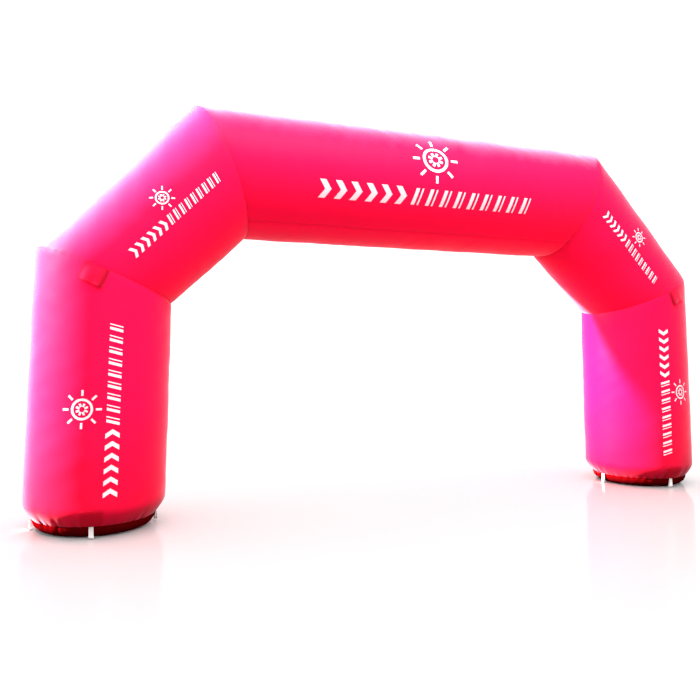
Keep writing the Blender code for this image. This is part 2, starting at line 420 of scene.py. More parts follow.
# A sheet of cloth between two grids of points, its face and its back, with closed edges.
# closed joins the last column to the first. uv has a column more where it does.
def shellMesh(name, outer, inner, closed, uv, material, seamAndShade=None):
    rows, columns = outer.shape[:2]
    points = np.concatenate([outer.reshape(-1, 3), inner.reshape(-1, 3)])
    wide = columns + 1 if closed else columns
    row, column = np.meshgrid(np.arange(rows), np.arange(wide), indexing="ij")
    vertexOf = (row * columns + column % columns).ravel()
    vertexOf = np.concatenate([vertexOf, vertexOf + rows * columns])
    corner = np.arange(rows * wide).reshape(rows, wide)
    back = corner + rows * wide
    quads = [
        np.stack([corner[:-1, :-1], corner[:-1, 1:], corner[1:, 1:], corner[1:, :-1]], -1),
        np.stack([back[:-1, :-1], back[1:, :-1], back[1:, 1:], back[:-1, 1:]], -1),
        np.stack([corner[:1, :-1], back[:1, :-1], back[:1, 1:], corner[:1, 1:]], -1),
        np.stack([corner[-1:, :-1], corner[-1:, 1:], back[-1:, 1:], back[-1:, :-1]], -1),
    ]
    if not closed:
        quads += [
            np.stack([corner[:-1, :1], corner[1:, :1], back[1:, :1], back[:-1, :1]], -1),
            np.stack([corner[:-1, -1:], back[:-1, -1:], back[1:, -1:], corner[1:, -1:]], -1),
        ]
    faces = np.concatenate([group.reshape(-1, 4) for group in quads])
    middle = rows // 2
    a, b, c = (outer[middle, 0], outer[middle, 1], outer[middle + 1 if middle + 1 < rows else 1, 0])
    if np.dot(np.cross(b - a, c - a), a - inner[middle, 0]) < 0:
        faces = faces[:, ::-1]
    mesh = bpy.data.meshes.new(name)
    mesh.from_pydata(points.tolist(), [], vertexOf[faces].tolist())
    layer = mesh.uv_layers.new(name="clothMap")
    flat = np.concatenate([uv.reshape(-1, 2), uv.reshape(-1, 2)])
    layer.data.foreach_set("uv", flat[faces.ravel()].astype(np.float32).ravel())
    values = np.zeros(len(points)) if seamAndShade is None else np.tile(seamAndShade.ravel(), 2)
    attribute = mesh.attributes.new("seamAndShade", "FLOAT", "POINT")
    attribute.data.foreach_set("value", values.astype(np.float32))
    mesh.shade_smooth()
    mesh.set_sharp_from_angle(angle=radians(50))
    mesh.materials.append(material)
    return mesh


def addPiece(mesh):
    piece = bpy.data.objects.new(mesh.name, mesh)
    bpy.context.scene.collection.objects.link(piece)
    return piece


# Several meshes as one, which keeps their maps and attributes.
def joinMeshes(name, meshes):
    joined = bmesh.new()
    for mesh in meshes:
        joined.from_mesh(mesh)
    result = meshes[0].copy()
    result.name = name
    joined.to_mesh(result)
    joined.free()
    for mesh in meshes:
        bpy.data.meshes.remove(mesh)
    return result


# Merges points that fall together, as at the middle of a disc.
def closeMesh(mesh):
    merged = bmesh.new()
    merged.from_mesh(mesh)
    bmesh.ops.remove_doubles(merged, verts=merged.verts, dist=0.00001)
    merged.to_mesh(mesh)
    merged.free()


gatherWidening = 1.2  # how much wider a gather grows over its reach
gatherSizes = {
    "foot": {"count": 56, "seed": 11, "depth": (0.0040, 0.0130), "width": (0.013, 0.022),
             "reach": (0.028, 0.085), "slant": 0.5, "even": 1.0},
    "elbow": {"count": 54, "seed": 23, "depth": (0.0004, 0.0030), "width": (0.013, 0.022),
              "reach": (0.015, 0.050), "slant": 0.8, "even": 0.35},
    "corner": {"count": 54, "seed": 37, "depth": (0.0003, 0.0026), "width": (0.013, 0.022),
               "reach": (0.015, 0.045), "slant": 0.8, "even": 0.35},
}

rippleSizes = {
    "broad": {"count": 7, "height": 0.0011, "length": (0.45, 0.95), "lobes": (1, 4)},
    "fine": {"count": 12, "height": 0.00028, "length": (0.14, 0.30), "lobes": (4, 14)},
}


# The small folds that a seam pulls into its cloth: where they are round the tube, how deep
# and wide each is, and how far it runs from the seam.
def makeGathers(kind, turned):
    size = gatherSizes[kind]
    chance = np.random.default_rng(size["seed"] + turned)
    count = size["count"]
    angle = (np.arange(count) + chance.uniform(-0.33, 0.33, count)) * 2 * pi / count
    depth = chance.uniform(*size["depth"], count)
    # a mitred seam puckers most where its tube bends away, at the outer and inner corners
    corners = size["even"] + (1 - size["even"]) * np.maximum(np.cos(angle), -0.6 * np.cos(angle)) ** 2
    return {
        "angle": angle,
        "depth": depth * corners,
        "width": chance.uniform(*size["width"], count),
        "reach": chance.uniform(*size["reach"], count),
        "slant": chance.uniform(-size["slant"], size["slant"], count),
    }


def gatherDepth(gathers, radius, theta, distance):
    theta, distance = np.broadcast_arrays(theta, distance)
    total = np.zeros(theta.shape)
    for angle, depth, width, reach, slant in zip(*gathers.values()):
        apart = (theta - angle - slant * distance + pi) % (2 * pi) - pi
        spread = width * (1 + gatherWidening * distance / reach)
        total += depth * np.exp(-(apart * radius / spread) ** 2 - distance / reach)
    return total


# A seam across a tube: at is its place along the tube's middle line, and slope its lean.
def makeSeam(kind, turned, at, slope, radius):
    return {"kind": kind, "at": at, "slope": slope, "radius": radius,
            "gathers": makeGathers(kind, turned)}


def seamRadius(seam, theta):
    drawn = 1.0 if seam["kind"] == "foot" else cloth["seamPinch"]
    return seam["radius"] * drawn - gatherDepth(seam["gathers"], seam["radius"], theta, 0.0)


def seamPlace(seam, theta, inset=0.0):
    return seam["at"] + seam["slope"] * (seamRadius(seam, theta) - inset) * np.cos(theta)


def makeTube(origin, along, outer, start, end, radii, seed):
    chance = np.random.default_rng(seed)
    ripples = []
    for size in rippleSizes.values():
        for i in range(size["count"]):
            ripples.append({
                "height": size["height"] * chance.uniform(0.4, 1.0),
                "turn": 2 * pi / chance.uniform(*size["length"]) * chance.choice((-1, 1)),
                "lobes": int(chance.integers(*size["lobes"])),
                "phase": chance.uniform(0, 2 * pi),
            })
    return {"origin": np.array(origin), "along": np.array(along), "outer": np.array(outer),
            "start": start, "end": end, "radii": radii, "ripples": ripples}


# How far a seam draws the cloth in at a distance from it.
def pinch(seam, radius, distance):
    if seam["kind"] == "foot":
        near = np.clip(1 - distance / cloth["footReach"], 0, 1)
        return (radius - seam["radius"]) * near ** cloth["footRound"]
    near = np.clip(1 - distance / cloth["pinchLength"], 0, 1)
    return radius * (1 - cloth["seamPinch"]) * near ** 2


# The radius of the cloth's face, with its swelling, gathers and ripples.
def tubeRadius(tube, theta, s):
    low = seamPlace(tube["start"], theta)
    high = seamPlace(tube["end"], theta)
    share = np.clip((s - low) / (high - low), 0, 1)
    fromLow = np.maximum(s - low, 0)
    fromHigh = np.maximum(high - s, 0)
    plain = tube["radii"][0] + (tube["radii"][1] - tube["radii"][0]) * share
    radius = plain * (1 + cloth["crown"] * 4 * share * (1 - share))
    for seam, distance, size in ((tube["start"], fromLow, tube["radii"][0]),
                                 (tube["end"], fromHigh, tube["radii"][1])):
        radius = radius - pinch(seam, size, distance)
        radius = radius - gatherDepth(seam["gathers"], seam["radius"], theta, distance)
    calm = ((1 - np.exp(-(fromLow / cloth["calmLength"]) ** 2))
            * (1 - np.exp(-(fromHigh / cloth["calmLength"]) ** 2)))
    for wave in tube["ripples"]:
        radius = radius + calm * wave["height"] * np.sin(
            wave["turn"] * s + wave["lobes"] * theta + wave["phase"])
    return radius


# The direction away from the tube's middle line.
def outward(tube, theta):
    theta = np.asarray(theta, float)[..., None]
    return tube["outer"] * np.cos(theta) + front * np.sin(theta)


# Points on the cloth's face, or lifted off it.
def onTube(tube, theta, s, lift=0.0):
    theta, s = np.broadcast_arrays(np.asarray(theta, float), np.asarray(s, float))
    radius = tubeRadius(tube, theta, s) + lift
    return tube["origin"] + tube["along"] * s[..., None] + outward(tube, theta) * radius[..., None]


def makeTubes():
    tubes = {}
    for i, (name, side) in enumerate(sides.items()):
        tubes["leg_" + name] = makeTube(
            (side * legX, 0.0, 0.0), (0.0, 0.0, 1.0), (float(side), 0.0, 0.0),
            makeSeam("foot", i, baseDepth, 0.0, cloth["baseSeamRadius"]),
            makeSeam("elbow", i, elbowHeight, legMitre, legRadius),
            (legRadius, legRadius), 51 + i)
        tubes["shoulder_" + name] = makeTube(
            (side * legX, 0.0, elbowHeight),
            (-side * cos(shoulderSlope), 0.0, sin(shoulderSlope)),
            (side * sin(shoulderSlope), 0.0, cos(shoulderSlope)),
            makeSeam("elbow", i, 0.0, -legMitre, legRadius),
            makeSeam("corner", i, shoulderLength, beamMitre, beamRadius),
            (legRadius, beamRadius), 61 + i)
    tubes["beam"] = makeTube(
        (0.0, 0.0, beamHeight), (1.0, 0.0, 0.0), (0.0, 0.0, 1.0),
        makeSeam("corner", 0, -beamCorner, -beamMitre, beamRadius),
        makeSeam("corner", 1, beamCorner, beamMitre, beamRadius),
        (beamRadius, beamRadius), 71)
    return tubes


tubes = makeTubes()

panelGrid = {
    "columns": 320,  # round a whole tube
    "seamRows": (0.0, 0.003, 0.007, 0.012, 0.018, 0.025, 0.034, 0.045, 0.058, 0.074, 0.094, 0.120),
    "rowStep": 0.034,  # between the rows of the middle
    "edgeColumns": (0.0, 0.003, 0.007, 0.012, 0.017, 0.024),  # beside a lengthwise seam
    "shadeWidth": 0.008,  # of the deeper tone beside a seam
    "footShade": 0.3,  # how much deeper still the cloth looks beside the foot's seam
    "footShadeWidth": 0.055,
    "foldShade": 4.5,  # and in its folds
    "creaseDepth": 0.0022,  # how far a lengthwise seam lies in
    "creaseWidth": 0.016,
}


# The cloth of a tube, or of part of its way round, as a closed shell.
def panelShell(name, tube, thetas, closed, material):
    near = np.array(panelGrid["seamRows"])
    theta = thetas[None, :]
    low = seamPlace(tube["start"], theta) + cloth["gap"] / 2
    high = seamPlace(tube["end"], theta) - cloth["gap"] / 2
    steps = int(np.ceil((float((high - low).mean()) - 2 * near[-1]) / panelGrid["rowStep"]))
    shares = np.arange(1, steps)[:, None] / steps
    between = low + near[-1] + (high - low - 2 * near[-1]) * shares
    s = np.concatenate([low + near[:, None], between, high - near[::-1, None]])
    theta = np.broadcast_to(theta, s.shape)
    radius = tubeRadius(tube, theta, s)
    distance = np.minimum(s - low, high - s)
    seamAndShade = np.exp(-(distance / panelGrid["shadeWidth"]) ** 2)
    # painted shade: darker in the foot's gathers and just above its seam
    if tube["start"]["kind"] == "foot":
        folds = gatherDepth(tube["start"]["gathers"], tube["start"]["radius"], theta, s - low)
        seamAndShade = seamAndShade + panelGrid["foldShade"] * folds / gatherSizes["foot"]["depth"][1]
        atFoot = np.exp(-((s - low) / panelGrid["footShadeWidth"]) ** 2)
        seamAndShade = seamAndShade + panelGrid["footShade"] * atFoot
    if not closed:
        fromEdge = np.minimum(theta - thetas[0], thetas[-1] - theta) * radius
        seamAndShade = np.maximum(seamAndShade, np.exp(-(fromEdge / panelGrid["shadeWidth"]) ** 2))
        crease = np.exp(-(fromEdge / panelGrid["creaseWidth"]) ** 2)
        radius = radius - panelGrid["creaseDepth"] * crease
    # the back of the cloth meets its neighbour on the same plane as the face
    lowIn = seamPlace(tube["start"], theta, cloth["wall"]) + cloth["gap"] / 2
    highIn = seamPlace(tube["end"], theta, cloth["wall"]) - cloth["gap"] / 2
    sIn = lowIn + (s - low) * (highIn - lowIn) / (high - low)
    direction = outward(tube, theta)
    outer = tube["origin"] + tube["along"] * s[..., None] + direction * radius[..., None]
    inner = (tube["origin"] + tube["along"] * sIn[..., None]
             + direction * (radius - cloth["wall"])[..., None])
    mapped = np.stack([theta * beamRadius, s], -1)
    if closed:
        last = np.stack([theta[:, :1] * beamRadius + 2 * pi * beamRadius, s[:, :1]], -1)
        mapped = np.concatenate([mapped, last], axis=1)
    return shellMesh(name, outer, inner, closed, mapped, material, seamAndShade)


# Angles across a panel, closer together beside its two edges.
def openColumns(first, last):
    edge = np.array(panelGrid["edgeColumns"]) / beamRadius
    steps = int(round((last - first - 2 * edge[-1]) * panelGrid["columns"] / (2 * pi)))
    middle = np.linspace(first + edge[-1], last - edge[-1], steps + 1)[1:-1]
    return np.concatenate([first + edge, middle, (last - edge)[::-1]])


# Angles all the way round a tube, from its closing seam at the back.
def roundColumns():
    return -pi / 2 + np.arange(panelGrid["columns"]) * 2 * pi / panelGrid["columns"]


def buildPanels(material):
    panels = {}
    for name in ("leg_left", "leg_right", "shoulder_left", "shoulder_right"):
        panels[name] = addPiece(panelShell(name + "_cloth", tubes[name], roundColumns(), True, material))
    seamAngle = pi - cloth["underHalfAngle"]
    halfGap = cloth["gap"] / (2 * beamRadius)
    for name, first, last in (("beam_panel", halfGap - seamAngle, seamAngle - halfGap),
                              ("beam_under_panel", seamAngle + halfGap,
                               2 * pi - seamAngle - halfGap)):
        mesh = panelShell(name + "_cloth", tubes["beam"], openColumns(first, last), False, material)
        panels[name] = addPiece(mesh)
    return panels


base = {
    "lip": 0.006,
    "restingRadius": 0.400,
    "sideRows": 22,
    "flatRows": 5,
    "folds": 31,
    "foldHeight": 0.0015,
    "foldSway": 2.0,  # how unevenly the folds lie round the base
    "foldsFrom": 0.004,  # height above the ground at which they end
    "shadeWidth": 0.012,
}


# Each base: an upright lip, a bulging side with the seam's gathers, and a flat rest.
def buildBases(material):
    rim = baseDepth - cloth["gap"] / 2
    turns = np.linspace(pi / 2, 0, base["sideRows"] + 1)
    reach = [cloth["baseSeamRadius"]]
    height = [rim]
    reach += list(base["restingRadius"]
                  + (cloth["baseSeamRadius"] - base["restingRadius"]) * np.sin(turns))
    height += list((rim - base["lip"]) * (1 - np.cos(turns)))
    flat = np.linspace(base["restingRadius"], 0, base["flatRows"] + 1)[1:]
    reach = np.concatenate([reach, flat])
    height = np.concatenate([height, np.zeros(len(flat))])
    travelled = np.concatenate([[0], np.cumsum(np.hypot(np.diff(reach), np.diff(height)))])
    # the cloth's own direction down the profile gives the side on which its back lies
    down = np.stack([np.gradient(reach, travelled), np.gradient(height, travelled)], -1)
    down /= np.linalg.norm(down, axis=1)[:, None]
    theta = roundColumns()
    pieces = {}
    for name, side in sides.items():
        gathers = tubes["leg_" + name]["start"]["gathers"]
        pull = gatherDepth(gathers, cloth["baseSeamRadius"], theta[None, :], travelled[:, None])
        swell = np.sin(pi * np.clip(travelled / travelled[base["sideRows"]], 0, 1))
        sway = base["foldSway"] * np.sin(3 * theta + side)
        fold = base["foldHeight"] * np.sin(base["folds"] * theta + sway)
        folded = (height > base["foldsFrom"])[:, None]
        radius = reach[:, None] - pull + swell[:, None] * fold[None, :] * folded
        radius = np.where(reach[:, None] == 0, 0.0, radius)
        pointing = np.stack([side * np.cos(theta), -np.sin(theta), 0 * theta], -1)
        centre = np.array((side * legX, 0.0, 0.0))
        upright = np.array((0.0, 0.0, 1.0))
        outer = centre + pointing[None] * radius[..., None] + upright * height[:, None, None]
        inRadius = radius + cloth["wall"] * down[:, 1:2]
        inRadius = np.where(reach[:, None] == 0, 0.0, inRadius)
        inHeight = np.minimum(height - cloth["wall"] * down[:, 0], rim)
        inHeight[0] = rim
        inner = centre + pointing[None] * inRadius[..., None] + upright * inHeight[:, None, None]
        around = np.concatenate([theta, theta[:1] + 2 * pi])
        mapped = np.stack(np.broadcast_arrays(around[None, :] * legRadius, travelled[:, None]), -1)
        near = np.exp(-(travelled / base["shadeWidth"]) ** 2)[:, None] * np.ones(len(theta))
        mesh = shellMesh("base_" + name + "_cloth", outer, inner, True, mapped, material, near)
        closeMesh(mesh)
        pieces["base_" + name] = addPiece(mesh)
    return pieces


basePatch = {
    "width": 0.185,
    "top": 0.140,  # above the foot's seam
    "length": 0.161,  # its height laid flat
    "standOff": 0.0024,
    "columns": 30,
    "rows": 24,
}
elbowPatch = {
    "width": 0.220,
    "depth": 0.155,
    "centre": radians(9.5),  # from the front of the leg towards the arch's outer side
    "standOff": 0.0025,
    "lift": 0.016,  # of the free corner
    "puff": 0.005,
    "hem": 0.010,  # how far the hem turns back at the inner side
    "hemShare": 0.10,
    "wave": 0.0025,
    "waveTurn": 9.0,
    "cornerCurl": 1.5,  # how soon the lift dies away from the corner
    "puffRound": 0.8,
    "nearest": 0.0042,  # to the leg
    "shadeShare": 0.24,  # of the flap's width painted darker at its inner side, as shade beside the lifted corner and over the hem's doubled cloth
    "columns": 28,
    "rows": 22,
}
patchTurn = {"left": radians(6), "right": radians(-2)}
faces = {"front": 1, "back": -1}


def buildBasePatches(material):
    pieces = {}
    halfAngle = basePatch["width"] / legRadius / 2
    for name in sides:
        tube = tubes["leg_" + name]
        for face, toward in faces.items():
            middle = (pi / 2 - patchTurn[name]) * toward
            theta = np.linspace(middle - halfAngle, middle + halfAngle, basePatch["columns"] + 1)
            s = baseDepth + np.linspace(cloth["gap"], basePatch["top"], basePatch["rows"] + 1)
            theta, s = np.meshgrid(theta, s)
            inner = onTube(tube, theta, s, basePatch["standOff"])
            outer = onTube(tube, theta, s, basePatch["standOff"] + cloth["wall"])
            mapped = np.stack([theta * legRadius, s], -1)
            piece = "base_patch_" + name + "_" + face
            pieces[piece] = addPiece(shellMesh(piece + "_cloth", outer, inner, False, mapped, material))
    return pieces


# Points of the flap: across runs from its inner side to its outer, down from its seam.
def elbowPatchPoints(name, toward, across, down, offset):
    slope = atan(legMitre)
    tube = tubes["leg_" + name]
    depth = 2 * cloth["gap"] + cloth["wall"] + down * (elbowPatch["depth"] - cloth["wall"])
    arc = legRadius * elbowPatch["centre"] + (across - 0.5) * elbowPatch["width"] * cos(slope)
    fromFront = (arc + depth * sin(slope)) / legRadius
    theta = (pi / 2 - fromFront) * toward
    seam = elbowHeight + legMitre * legRadius * np.sin(arc / legRadius)
    s = seam - depth * cos(slope)
    # the free inner corner stands away, and its hem turns back towards the leg
    corner = elbowPatch["lift"] * down * (1 - across) ** elbowPatch["cornerCurl"]
    hem = elbowPatch["hem"] * down * np.exp(-(across / elbowPatch["hemShare"]) ** 2)
    puff = (elbowPatch["puff"] * np.sin(pi * across)
            * np.sin(pi * down) ** elbowPatch["puffRound"])
    wave = elbowPatch["wave"] * down * np.sin(elbowPatch["waveTurn"] * across + 1.0)
    lift = np.maximum(elbowPatch["standOff"] + corner - hem + puff + wave, elbowPatch["nearest"])
    radius = legRadius + lift + offset
    place = tube["origin"] + tube["along"] * s[..., None]
    return place + outward(tube, theta) * radius[..., None]


def buildElbowPatches(material):
    pieces = {}
    across = np.linspace(0, 1, elbowPatch["columns"] + 1)
    down = np.linspace(0, 1, elbowPatch["rows"] + 1)
    across, down = np.meshgrid(across, down)
    for name in sides:
        for face, toward in faces.items():
            outer = elbowPatchPoints(name, toward, across, down, cloth["wall"])
            inner = elbowPatchPoints(name, toward, across, down, 0.0)
            mapped = np.stack([across * elbowPatch["width"], down * elbowPatch["depth"]], -1)
            # painted shade along the flap's inner side
            near = np.exp(-(across / elbowPatch["shadeShare"]) ** 2)
            piece = "elbow_patch_" + name + "_" + face
            mesh = shellMesh(piece + "_cloth", outer, inner, False, mapped, material, near)
            pieces[piece] = addPiece(mesh)
    return pieces


loop = {
    "width": 0.038,
    "tape": 0.002,
    "neck": 0.014,  # length sewn together at the top
    "neckHalf": 0.0016,
    "straight": 0.068,
    "halfGap": 0.010,
    "flare": 0.7,
    "hang": 1.5,  # how much more the lower end leans and twists than the upper
    "clearance": 0.001,
    "lean": 0.006,  # most that a loop's end hangs to one side
    "twist": 0.22,
    "seed": 5,
    "sideSteps": 14,
    "roundSteps": 16,
    "rows": 8,
}


# The outline of a hanging loop, seen edge on, and how far along the tape each point is.
def loopOutline(offset, top):
    lowest = -loop["neck"] - loop["straight"]
    down = [(loop["neckHalf"] + offset, top)]
    for i in range(1, loop["sideSteps"] + 1):
        share = i / loop["sideSteps"]
        halfGap = loop["neckHalf"] + (loop["halfGap"] - loop["neckHalf"]) * share ** loop["flare"]
        down.append((halfGap + offset, -loop["neck"] + (lowest + loop["neck"]) * share))
    size = loop["halfGap"] + offset
    bottom = [(size * cos(turn), lowest - size * sin(turn))
              for turn in np.linspace(0, pi, loop["roundSteps"] + 1)[1:-1]]
    outline = [(-x, z) for x, z in down + bottom] + down[::-1]
    return np.array(outline)


def loopAngles(name):
    angles = {face: (pi / 2 - patchTurn[name]) * toward for face, toward in faces.items()}
    return {**angles, "outer": 0.0, "inner": pi}


# Where a loop's neck hangs, the way out from the leg there, and the way across the tape.
def loopPlace(name, place):
    side = sides[name]
    angle = loopAngles(name)[place]
    reach = (cloth["baseSeamRadius"] + cloth["gap"] + loop["clearance"] + loop["neckHalf"]
             + loop["tape"] / 2)
    away = np.array((side * cos(angle), -sin(angle), 0.0))
    hung = np.array((side * legX, 0.0, baseDepth - cloth["gap"])) + away * reach
    return hung, away, np.cross((0.0, 0.0, 1.0), away)


def buildLoops(material):
    pieces = {}
    chance = np.random.default_rng(loop["seed"])
    for name in sides:
        for place in loopAngles(name):
            hung, away, across = loopPlace(name, place)
            lean = chance.uniform(-loop["lean"], loop["lean"])
            twist = chance.uniform(-loop["twist"], loop["twist"])
            grids = []
            for offset, top in ((loop["tape"] / 2, 0.0), (-loop["tape"] / 2, -loop["neck"])):
                outline = loopOutline(offset, top)
                edge = np.linspace(-1, 1, loop["rows"] + 1)[:, None] * loop["width"] / 2
                x, z = outline[None, :, 0], outline[None, :, 1]
                free = np.clip(-z / (loop["neck"] + loop["straight"]), 0, 1) ** loop["hang"]
                turn = twist * free
                sideways = edge * np.cos(turn) - x * np.sin(turn) + lean * free
                outwards = x * np.cos(turn) + edge * np.sin(turn)
                grids.append(hung + across * sideways[..., None] + away * outwards[..., None]
                             + np.array((0.0, 0.0, 1.0)) * (z + 0 * edge)[..., None])
            outline = loopOutline(loop["tape"] / 2, 0.0)
            length = np.concatenate([[0], np.cumsum(np.linalg.norm(np.diff(outline, axis=0), axis=1))])
            length = np.append(length, length[-1] + 2 * loop["neckHalf"])
            edge = np.linspace(0, loop["width"], loop["rows"] + 1)
            mapped = np.stack(np.broadcast_arrays(length[None, :], edge[:, None]), -1)
            piece = "loop_" + name + "_" + place
            mesh = shellMesh(piece + "_tape", grids[0], grids[1], True, mapped, material)
            pieces[piece] = addPiece(mesh)
    return pieces


printing = {
    "face": 0.0007,  # of the ink above the cloth
    "back": 0.0002,
    "boldShapes": 6,
    "thinShapes": 9,
    "boldShare": 0.40,  # of a row's length
    "arrowWidth": 0.40,  # these are shares of the pitch between two shapes
    "arrowPoint": 0.76,
    "strokes": ((0.10, 0.24), (0.52, 0.10)),  # where each stroke of a pair starts, and its width
    "strokeSlant": 0.30,
    "strokeHeight": 0.94,  # of the row's height
    "across": 13,  # points
    "along": 4,
}

emblem = {  # reaches are shares of its radius
    "ring": (0.44, 0.56),
    "ringSteps": 48,
    "rays": 8,
    "rayWidth": 0.11,
    "outerRay": (0.70, 1.00),
    "innerRay": (0.14, 0.32),
}

# Angles are from the front of the tube towards its outer or upper side.
rows = {
    "beam": {"tube": "beam", "from": -1.22, "to": 1.19, "angle": radians(-17.7), "height": 0.18,
             "emblemAt": 0.034, "emblemAngle": radians(18.6), "emblemRadius": 0.255},
    "leg_left": {"tube": "leg_left", "from": 0.337, "to": 1.775, "angle": radians(-7.5),
                 "height": 0.115, "emblemAt": 1.057, "emblemAngle": radians(16.4),
                 "emblemRadius": 0.158},
    "leg_right": {"tube": "leg_right", "from": 1.787, "to": 0.360, "angle": radians(-10.0),
                  "height": 0.115, "emblemAt": 1.070, "emblemAngle": radians(11.0),
                  "emblemRadius": 0.142},
    "shoulder_left": {"tube": "shoulder_left", "from": 0.23, "to": 1.27, "angle": radians(-2.5),
                      "height": 0.095, "emblemAt": 0.759, "emblemAngle": radians(14.8),
                      "emblemRadius": 0.108},
    "shoulder_right": {"tube": "shoulder_right", "from": 1.25, "to": 0.218,
                       "angle": radians(-5.7), "height": 0.095, "emblemAt": 0.739,
                       "emblemAngle": radians(11.6), "emblemRadius": 0.108},
}


# A patch of ink on the cloth, from a grid of places.
def inkMesh(name, tube, s, theta, material):
    outer = onTube(tube, theta, s, printing["face"])
    inner = onTube(tube, theta, s, printing["back"])
    mapped = np.stack([theta * beamRadius, s], -1)
    return shellMesh(name, outer, inner, False, mapped, material)


# The grids of a printed row, as distances along it from 0 and across it from its middle:
# bold arrowheads, then slanting strokes in pairs.
def rowShapes(row):
    length = abs(row["to"] - row["from"])
    boldLength = length * printing["boldShare"]
    across = np.linspace(-0.5, 0.5, printing["across"])[:, None]
    wide = np.linspace(0, 1, printing["along"])[None, :]
    shapes = []
    pitch = boldLength / printing["boldShapes"]
    for i in range(printing["boldShapes"]):
        point = printing["arrowPoint"] * (0.5 - np.abs(across))
        along = pitch * (i + printing["arrowWidth"] * wide + point)
        shapes.append((along, across * row["height"] + 0 * wide))
    pitch = (length - boldLength) / printing["thinShapes"]
    for i in range(printing["thinShapes"]):
        for start, width in printing["strokes"]:
            slant = printing["strokeSlant"] * (across + 0.5)
            along = boldLength + pitch * (i + start + width * wide + slant)
            shapes.append((along, across * printing["strokeHeight"] * row["height"] + 0 * wide))
    return shapes


# A plain ring with short rays, inside and out.
def emblemShapes(radius):
    turns = np.linspace(0, 2 * pi, emblem["ringSteps"] + 1)[:, None]
    size = radius * np.linspace(*emblem["ring"], 3)[None, :]
    shapes = [(size * np.cos(turns), size * np.sin(turns))]
    wide = np.linspace(-0.5, 0.5, 3)[None, :] * emblem["rayWidth"] * radius
    for reaches, shift in ((emblem["outerRay"], 0.0), (emblem["innerRay"], 0.5)):
        reach = radius * np.linspace(*reaches, 6)[:, None] + 0 * wide
        for i in range(emblem["rays"]):
            turn = (i + shift) * 2 * pi / emblem["rays"]
            shapes.append((reach * cos(turn) - wide * sin(turn),
                           reach * sin(turn) + wide * cos(turn)))
    return shapes


def buildPrints(material):
    pieces = {}
    for name, row in rows.items():
        tube = tubes[row["tube"]]
        radius = beamRadius if name == "beam" else legRadius
        toward = 1 if row["to"] > row["from"] else -1
        meshes = []
        for i, (along, across) in enumerate(rowShapes(row)):
            theta = pi / 2 - row["angle"] - toward * across / radius
            meshes.append(inkMesh(f"{name}_{i}", tube, row["from"] + toward * along, theta, material))
        for i, (along, across) in enumerate(emblemShapes(row["emblemRadius"])):
            theta = pi / 2 - row["emblemAngle"] - across / radius
            meshes.append(inkMesh(f"{name}_e{i}", tube, row["emblemAt"] + along, theta, material))
        pieces[name] = addPiece(joinMeshes("print_" + name, meshes))
    return pieces


stitch = {
    "pitch": 0.010,
    "length": 0.0072,
    "thread": 0.0011,
    "segments": 5,
    "rings": 3,
    "fromSeam": 0.007,
    "betweenRows": 0.008,
    "seated": 0.25,  # share of the thread's width that its middle stands above the cloth
    "patchInset": 0.007,
    "flapInset": 0.012,
    "loopInset": 0.004,
    "loopPitch": 0.004,
    "loopLength": 0.0030,
    "roundPoints": 480,  # of the line round a tube
    "lengthPoints": 240,
    "lengthInset": 0.004,  # from a tube's two seams
    "flapPoints": 25,
}


# Geometry nodes that lay one stitch at every pitch along a line. The line's points carry
# the direction out of the cloth as the attribute outOfCloth.
def stitchTree():
    tree = bpy.data.node_groups.new("stitch row", "GeometryNodeTree")
    tree.is_modifier = True
    tree.interface.new_socket("Geometry", in_out="INPUT", socket_type="NodeSocketGeometry")
    for name in ("Pitch", "Stitch length", "Thread width"):
        tree.interface.new_socket(name, in_out="INPUT", socket_type="NodeSocketFloat")
    tree.interface.new_socket("Thread", in_out="INPUT", socket_type="NodeSocketMaterial")
    tree.interface.new_socket("Geometry", in_out="OUTPUT", socket_type="NodeSocketGeometry")
    given = addNode(tree, "NodeGroupInput").outputs
    line = addNode(tree, "GeometryNodeMeshToCurve", {"Mesh": given["Geometry"]})
    even = addNode(tree, "GeometryNodeResampleCurve",
                   {"Curve": line.outputs[0], "Length": given["Pitch"]}, mode="LENGTH")
    bead = addNode(tree, "GeometryNodeMeshUVSphere", {
        "Segments": stitch["segments"], "Rings": stitch["rings"], "Radius": 0.5})
    size = addNode(tree, "ShaderNodeCombineXYZ", {
        0: given["Stitch length"], 1: given["Thread width"], 2: given["Thread width"]})
    shaped = addNode(tree, "GeometryNodeTransform",
                     {"Geometry": bead.outputs[0], "Scale": size.outputs[0]})
    out = addNode(tree, "GeometryNodeInputNamedAttribute", {"Name": "outOfCloth"},
                  data_type="FLOAT_VECTOR")
    stood = addNode(tree, "FunctionNodeAlignRotationToVector",
                    {"Vector": out.outputs["Attribute"]}, axis="Z")
    tangent = addNode(tree, "GeometryNodeInputTangent")
    turned = addNode(tree, "FunctionNodeAlignRotationToVector",
                     {"Rotation": stood.outputs[0], "Vector": tangent.outputs[0]},
                     axis="X", pivot_axis="Z")
    copies = addNode(tree, "GeometryNodeInstanceOnPoints", {
        "Points": even.outputs[0], "Instance": shaped.outputs[0], "Rotation": turned.outputs[0]})
    real = addNode(tree, "GeometryNodeRealizeInstances", {0: copies.outputs[0]})
    smooth = addNode(tree, "GeometryNodeSetShadeSmooth", {"Geometry": real.outputs[0]})
    dyed = addNode(tree, "GeometryNodeSetMaterial",
                   {"Geometry": smooth.outputs[0], "Material": given["Thread"]})
    addNode(tree, "NodeGroupOutput", {"Geometry": dyed.outputs[0]})
    return tree


